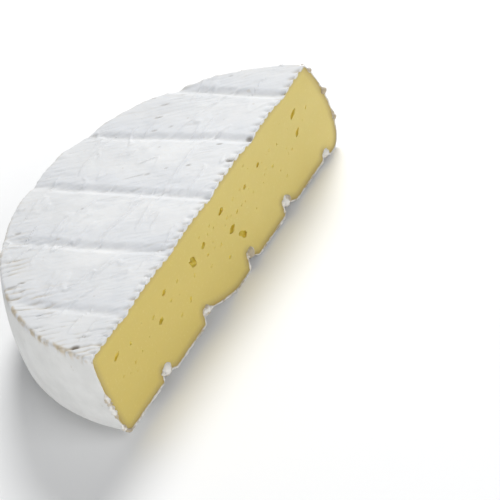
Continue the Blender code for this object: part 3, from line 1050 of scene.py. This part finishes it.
    # Kept for painted shade on the grooves' far sides, partly greyer pressed bloom
    shaped = kept(shaped, "pressed", pressed_and_shaded_side * inside_rim * on_shoulder)
    radius = measured("LENGTH", vector("DIVIDE", flat_place, (1.0, BACK_STRETCH, 1.0)))
    at_corner = smooth(radius, WHEEL_RADIUS - 1.5 * MM, WHEEL_RADIUS - 0.5 * MM)
    corner = at_corner * smooth(place[2], -1.4 * MM, -0.3 * MM)
    shaped = kept(shaped, "corner", corner)
    whole = put(tree, "GeometryNodeRealizeInstances", {"Geometry": shaped})[0]
    covered = put(tree, "GeometryNodeSetMaterial", {"Geometry": whole, "Material": given["Material"]})
    result["Geometry"] = covered[0]
    return tree


def curl_tree():
    """Grows a lumpy roll of pinched rind round each line."""
    inputs = [
        ("Geometry", GEOMETRY, None),
        ("Lump size", FLOAT, 1.4 * MM),
        ("Lump height", FLOAT, 0.75 * MM),
        ("Sides", "NodeSocketInt", 14),
        ("Material", MATERIAL, None),
    ]
    tree, given, result = new_tree("rind_curl", "GeometryNodeTree", inputs, [("Geometry", GEOMETRY)])
    thick = put(tree, "GeometryNodeInputNamedAttribute", {"Name": "thick"}, data_type="FLOAT")[0]
    curve = put(tree, "GeometryNodeMeshToCurve", {"Mesh": given["Geometry"]})[0]
    circle = put(tree, "GeometryNodeCurvePrimitiveCircle", {"Resolution": given["Sides"], "Radius": 1.0})[0]
    feeds = {"Curve": curve, "Profile Curve": circle, "Scale": thick, "Fill Caps": True}
    roll = put(tree, "GeometryNodeCurveToMesh", feeds)[0]
    position = put(tree, "GeometryNodeInputPosition")[0]
    normal = put(tree, "GeometryNodeInputNormal")[0]
    lump = noise_at(vector("DIVIDE", position, given["Lump size"]), 1.0, 2.0, 0.5) - 0.5
    stout = smooth(thick, 0.0, 1.6 * MM, 0.15, 1.0)
    lump = lump * 2.0 * given["Lump height"] * stout
    feeds = {"Geometry": roll, "Offset": scaled(normal, lump)}
    lumpy = put(tree, "GeometryNodeSetPosition", feeds)[0]
    whole = put(tree, "GeometryNodeRealizeInstances", {"Geometry": lumpy})[0]
    covered = put(tree, "GeometryNodeSetMaterial", {"Geometry": whole, "Material": given["Material"]})
    result["Geometry"] = covered[0]
    return tree


def grown(piece, tree, values):
    """Runs the tree on the piece and leaves a plain mesh."""
    modifier = piece.modifiers.new(tree.name, "NODES")
    modifier.node_group = tree
    for item in tree.interface.items_tree:
        if item.in_out == "INPUT" and item.name in values:
            modifier[item.identifier] = values[item.name]
    bpy.context.view_layer.update()
    depsgraph = bpy.context.evaluated_depsgraph_get()
    mesh = bpy.data.meshes.new_from_object(piece.evaluated_get(depsgraph))
    piece.modifiers.remove(modifier)
    old = piece.data
    piece.data = mesh
    bpy.data.meshes.remove(old)
    mesh.name = piece.name
    return piece


# Eyes

def eye_places():
    """The large eyes, the small ones that show, then tiny ones scattered in the middle band."""
    eyes = [
        ((across * MM, up * MM), long_size * MM, short_size * MM, math.radians(slant))
        for across, up, long_size, short_size, slant in MAIN_EYES
    ]
    draw = random.Random(7)
    for across, up in SEEN_SMALL_EYES:
        size = draw.uniform(*SEEN_EYE_SIZE)
        eyes.append(((across * MM, up * MM), size, size * draw.uniform(0.55, 0.8), draw.uniform(0.1, 0.6)))
    seen = len(eyes)
    while len(eyes) < seen + SMALL_EYES:
        size = draw.uniform(*SMALL_EYE_SIZE)
        place = (draw.gauss(*SMALL_EYES_ACROSS), draw.gauss(*SMALL_EYES_UP))
        slant = draw.uniform(0.1, 0.7)
        inside = abs(place[0]) < WHEEL_RADIUS - 7.0 * MM and LOWEST_EYE < place[1] < HIGHEST_EYE
        clear = all(math.dist(place, other) > (size + long_size) * 0.7 for other, long_size, _, _ in eyes)
        if inside and clear:
            eyes.append((place, size, size * 0.72, slant))
    return eyes


def eye_balls():
    """All the gas bubbles that the cut opened, as one mesh of uneven balls."""
    shape = bmesh.new()
    for number, ((across, up), long_size, short_size, slant) in enumerate(eye_places()):
        fine = 5 if long_size > LARGE_EYE else 4
        turn = Matrix.Rotation(-slant, 4, "Y")
        size = Matrix.Diagonal((long_size / 2.0, short_size / 2.0, short_size / 2.0, 1.0))
        sunk = MAIN_EYE_SUNK if number < len(MAIN_EYES) else SMALL_EYE_SUNK
        middle = Matrix.Translation((across, CUT_OFFSET + short_size * sunk, up))
        made = bmesh.ops.create_icosphere(shape, subdivisions=fine, radius=1.0)
        for vert in made["verts"]:
            lump = noise.noise(vert.co * 1.3 + Vector((number * 3.7, 0.0, 0.0)))
            vert.co = (middle @ turn @ size) @ (vert.co * (1.0 + EYE_LUMPS * lump))
    mesh = bpy.data.meshes.new("eyes")
    shape.to_mesh(mesh)
    shape.free()
    return show("eyes", mesh)


def one_skin(mesh):
    """Keeps the one large closed skin and drops the flat slivers that the cutting leaves on its edge."""
    shape = bmesh.new()
    shape.from_mesh(mesh)
    seen, skins = set(), []
    for face in shape.faces:
        if face in seen:
            continue
        seen.add(face)
        skin, front = [], [face]
        while front:
            here = front.pop()
            skin.append(here)
            for edge in here.edges:
                beside = edge.link_faces if len(edge.link_faces) == 2 else ()
                fresh = [other for other in beside if other not in seen]
                seen.update(fresh)
                front.extend(fresh)
        skins.append(skin)
    skins.sort(key=len)
    slivers = [face for skin in skins[:-1] for face in skin]
    print(mesh.name, "slivers dropped", len(slivers))
    bmesh.ops.delete(shape, geom=slivers, context="FACES")
    shape.to_mesh(mesh)
    shape.free()
    return mesh


def cut_eyes(paste):
    balls = eye_balls()
    cut = paste.modifiers.new("Eyes", "BOOLEAN")
    cut.operation = "DIFFERENCE"
    cut.solver = "EXACT"
    cut.use_self = True
    cut.object = balls
    bpy.context.view_layer.update()
    depsgraph = bpy.context.evaluated_depsgraph_get()
    mesh = bpy.data.meshes.new_from_object(paste.evaluated_get(depsgraph))
    paste.modifiers.remove(cut)
    mesh.name = "paste_cut"
    paste.data = one_skin(checked(one_skin(mesh)))
    bpy.data.objects.remove(balls, do_unlink=True)


def store_rind_distance(paste, outline):
    """Keeps how far each point of the paste is from the rind's edge on the cut."""
    tree = kdtree.KDTree(len(outline))
    for index, point in enumerate(outline):
        tree.insert((point[0], 0.0, point[2]), index)
    tree.balance()
    mesh = paste.data
    values = [tree.find((vert.co.x, 0.0, vert.co.z))[2] for vert in mesh.vertices]
    store(mesh, "rind_distance", values)


# Finishes

def finish_named(name, values):
    """A material with its node tree and its one surface shader, set to the values."""
    material = bpy.data.materials.new(name)
    material.use_nodes = True
    tree = material.node_tree
    surface = Made(tree, tree.nodes["Principled BSDF"])
    for label, value in values.items():
        surface[label] = value
    return material, tree, surface


def blend_colour(share, one, two):
    """Goes from one colour to another as the share goes from 0 to 1."""
    return put(share.tree, "ShaderNodeMix", {0: share, 6: one, 7: two}, data_type="RGBA")[2]


def grain_group():
    """Fine uneven grain that rind and paste share: a soft mottle and a fine speckle, both about 0."""
    inputs = [("Position", VECTOR, None), ("Mottle scale", FLOAT, 100.0), ("Speckle scale", FLOAT, 1500.0)]
    outputs = [("Mottle", FLOAT), ("Speckle", FLOAT)]
    tree, given, result = new_tree("fine_grain", "ShaderNodeTree", inputs, outputs)
    mottle = noise_at(given["Position"], given["Mottle scale"], 4.0, 0.6)
    speckle = noise_at(given["Position"], given["Speckle scale"], 2.0, 0.6)
    result["Mottle"] = mottle - 0.5
    result["Speckle"] = speckle - 0.5
    return tree


def grained(noises, mottle_height, speckle_height, strength):
    """A normal with the fine grain pressed into it."""
    height = noises["Mottle"] * mottle_height + noises["Speckle"] * speckle_height
    return put(height.tree, "ShaderNodeBump", {"Height": height, "Strength": strength, "Distance": 1.0})[0]


def from_top_centre(tree):
    """Object coordinates, measured from the centre of the wheel's top."""
    coordinates = put(tree, "ShaderNodeTexCoord")["Object"]
    return vector("SUBTRACT", coordinates, tuple(TOP_CENTRE))


def attribute(tree, name):
    """A named value that was kept at the points."""
    return put(tree, "ShaderNodeAttribute", attribute_name=name)["Fac"]


def rind_finish(grain, name, has_marks):
    """White bloom with a mottled grey tone, greyer towards the rim as painted shade, and its own tone on the
    side, partly painted shade; a marked rind has painted shade on the grooves' far sides, tan slits and
    corner, brown nicks and a creamy edge.
    """
    material, tree, surface = finish_named(name, RIND_SURFACE)
    position = from_top_centre(tree)
    place = parts_of(position)
    feeds = {"Position": position, "Mottle scale": 120.0, "Speckle scale": 1300.0}
    noises = put(tree, "ShaderNodeGroup", feeds, node_tree=grain)
    shade = smooth(noises["Mottle"], -0.12, 0.2)
    colour = blend_colour(shade * 0.42, BLOOM_WHITE, BLOOM_SHADE)
    cloud = smooth(noise_at(position, 42.0, 3.0, 0.6), 0.38, 0.66)
    colour = blend_colour(cloud * 0.45, colour, CLOUD_GREY)
    # Painted shade: greyer towards the rim, standing in for the ribs' shadows
    rim_shade = smooth(measured("LENGTH", joined(place[0], place[1])), 34.0 * MM, 64.0 * MM, 0.0, 0.42)
    colour = blend_colour(rim_shade, colour, RIM_SHADE_GREY)
    # The side's own tone: partly the smoother rind's colour, partly painted shade
    side_share = smooth(place[2], -0.3 * MM, -2.2 * MM)
    side_tone = blend_colour(smooth(noises["Mottle"], -0.2, 0.2), SIDE_PALE, SIDE_DEEP)
    colour = blend_colour(side_share, colour, side_tone)
    if has_marks:
        # Painted shade on the grooves' far sides, which face away from the key light, with some greyer
        # pressed bloom
        pressed = attribute(tree, "pressed") * 0.4
        colour = blend_colour(pressed, colour, PRESSED_GREY_AND_SHADE)
        slit = attribute(tree, "slit")
        near_left = smooth(place[0], -10.0 * MM, -55.0 * MM)
        patch = smooth(noise_at(position, 95.0, 3.0), 0.40, 0.60)
        tan_share = slit * (0.4 + near_left * 0.5) * patch
        colour = blend_colour(tan_share, colour, SLIT_TAN)
        here = smooth(noise_at(position, 160.0, 1.0), 0.45, 0.6)
        edge_slit = attribute(tree, "edge_slit") * here * 0.55
        colour = blend_colour(edge_slit, colour, EDGE_SLIT_TAN)
        worn = smooth(noise_at(position, 170.0, 3.0), 0.42, 0.56)
        corner_share = 0.2 + near_left * 0.55
        corner = attribute(tree, "corner") * worn * corner_share
        colour = blend_colour(corner, colour, CORNER_TAN)
        nick = attribute(tree, "nick") * 0.88
        colour = blend_colour(nick, colour, NICK_BROWN)
        edge_depth = 1.0 - attribute(tree, "outside")
        edge_share = smooth(edge_depth, 0.5, 0.9) * smooth(place[2], 0.0, -2.0 * MM, 0.2, 0.8)
        colour = blend_colour(edge_share, colour, RIND_EDGE_TAN)
    else:
        tan = smooth(noise_at(position, 330.0, 3.0), 0.45, 0.62)
        colour = blend_colour(tan, CURL_WHITE, CURL_TAN)
    fleck = smooth(noise_at(position, 300.0, 2.0, 0.5), 0.71, 0.78)
    colour = blend_colour(fleck * 0.3, colour, FLECK_BROWN)
    surface["Base Color"] = colour
    surface["Normal"] = grained(noises, 0.15 * MM, 0.035 * MM, 0.8)
    return material


def paste_finish(grain):
    """Soft yellow, lighter towards the far end of the cut as painted light, ochre towards the rind, golden
    in the eyes and darker deep in them as painted shade, with a fine grain.
    """
    material, tree, surface = finish_named("soft_yellow_paste", PASTE_SURFACE)
    position = from_top_centre(tree)
    place = parts_of(position)
    feeds = {"Position": position, "Mottle scale": 60.0, "Speckle scale": 1100.0}
    noises = put(tree, "ShaderNodeGroup", feeds, node_tree=grain)
    distance = attribute(tree, "rind_distance")
    # Painted light: lighter towards the far end of the cut, which lies nearer the key light
    along_cut = smooth(place[0], -60.0 * MM, 60.0 * MM)
    colour = blend_colour(along_cut, PASTE_NEAR, PASTE_FAR)
    shade = smooth(noises["Mottle"], -0.25, 0.25) * 0.35
    colour = blend_colour(shade, colour, PASTE_SHADE)
    band = smooth(distance, 3.4 * MM, 0.2 * MM)
    band = band * smooth(place[2], -3.0 * MM, -20.0 * MM, 0.7, 0.85)
    colour = blend_colour(band, colour, PASTE_BAND)
    line = smooth(distance, 1.5 * MM, 0.3 * MM) * 0.55
    colour = blend_colour(line, colour, PASTE_LINE)
    inside_eye = smooth(place[1], CUT_OFFSET + CUT_RECESS, CUT_OFFSET + 0.6 * MM)
    colour = blend_colour(inside_eye * 0.9, colour, EYE_GOLD)
    # Painted shade: darker deeper in the eyes
    eye_shade = smooth(place[1], CUT_OFFSET + 1.0 * MM, CUT_OFFSET + 2.1 * MM)
    colour = blend_colour(eye_shade * 0.6, colour, EYE_SHADE)
    fleck = smooth(noises["Speckle"], 0.05, 0.25) * 0.12
    colour = blend_colour(fleck, colour, PASTE_FLECK)
    surface["Base Color"] = colour
    surface["Normal"] = grained(noises, 0.10 * MM, 0.02 * MM, 0.7)
    return material


# Studio

def add_camera():
    """The camera, turned to the photo's view of the half wheel."""
    camera = bpy.data.objects.new("camera", bpy.data.cameras.new("camera"))
    bpy.context.scene.collection.objects.link(camera)
    camera.data.sensor_width = SENSOR
    camera.data.lens = CAMERA_LENS
    camera.data.clip_end = CAMERA_REACH
    level = CAMERA_LOOK.to_track_quat("-Z", "Y").to_matrix().to_4x4()
    roll = Matrix.Rotation(-CAMERA_ROLL, 4, "Z")
    camera.matrix_world = Matrix.Translation(TOP_CENTRE + CAMERA_FROM_TOP) @ level @ roll
    bpy.context.scene.camera = camera


def add_light(name, place, size, power):
    """A round lamp that points at the origin."""
    light = bpy.data.lights.new(name, "AREA")
    light.shape = "DISK"
    light.size = size
    light.energy = power
    lamp = bpy.data.objects.new(name, light)
    bpy.context.scene.collection.objects.link(lamp)
    lamp.location = place
    lamp.rotation_euler = (-Vector(place)).to_track_quat("-Z", "Y").to_euler()


def add_floor():
    """The pale ground, which is stage."""
    mesh = bpy.data.meshes.new("floor")
    shape = bmesh.new()
    bmesh.ops.create_grid(shape, x_segments=2, y_segments=2, size=FLOOR_REACH)
    shape.to_mesh(mesh)
    shape.free()
    floor = show("floor", mesh)
    material, tree, surface = finish_named("pale_floor", FLOOR_SURFACE)
    soft = noise_at(put(tree, "ShaderNodeTexCoord")["Object"], 3.0)
    surface["Base Color"] = blend_colour(soft, FLOOR_LOW, FLOOR_HIGH)
    mesh.materials.append(material)


def add_world():
    """Even daylight from all round."""
    world = bpy.data.worlds.new("studio")
    bpy.context.scene.world = world
    world.use_nodes = True
    background = world.node_tree.nodes["Background"]
    background.inputs["Color"].default_value = DAYLIGHT
    background.inputs["Strength"].default_value = DAYLIGHT_STRENGTH


# Making

grain = grain_group()
relief = relief_tree()
rind_look = rind_finish(grain, "white_bloomy_rind", True)
curl_look = rind_finish(grain, "pinched_rind", False)
paste_look = paste_finish(grain)

rind = show("rind", checked(rind_mesh()))
grown(rind, relief, {"Material": rind_look})

paste = show("paste", checked(paste_mesh()))
outline = half_wheel_rows(PASTE_INSET, 8, 1.0)
edge_points = [row[0] for row in outline] + [row[-1] for row in outline]
cut_eyes(paste)
grown(paste, relief, {"Material": paste_look, "Edge follow": 1.0, "Tooth drop": 0.0})
store_rind_distance(paste, edge_points)

pinched = show("rind_curls", torn_rind())
grown(pinched, curl_tree(), {"Material": curl_look})

for piece in (rind, paste, pinched):
    piece.data.transform(Matrix.Translation(TOP_CENTRE))
    piece.data.shade_smooth()
    piece.data.set_sharp_from_angle(angle=SHARP_ANGLE)
    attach(piece, "root")
    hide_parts("cheese_half")
    print(piece.name, "triangles", sum(len(face.vertices) - 2 for face in piece.data.polygons))

add_camera()
add_floor()
add_world()
for light in LIGHTS:
    add_light(*light)
bpy.context.scene.view_settings.view_transform = "Standard"
bpy.context.scene.view_settings.exposure = EXPOSURE
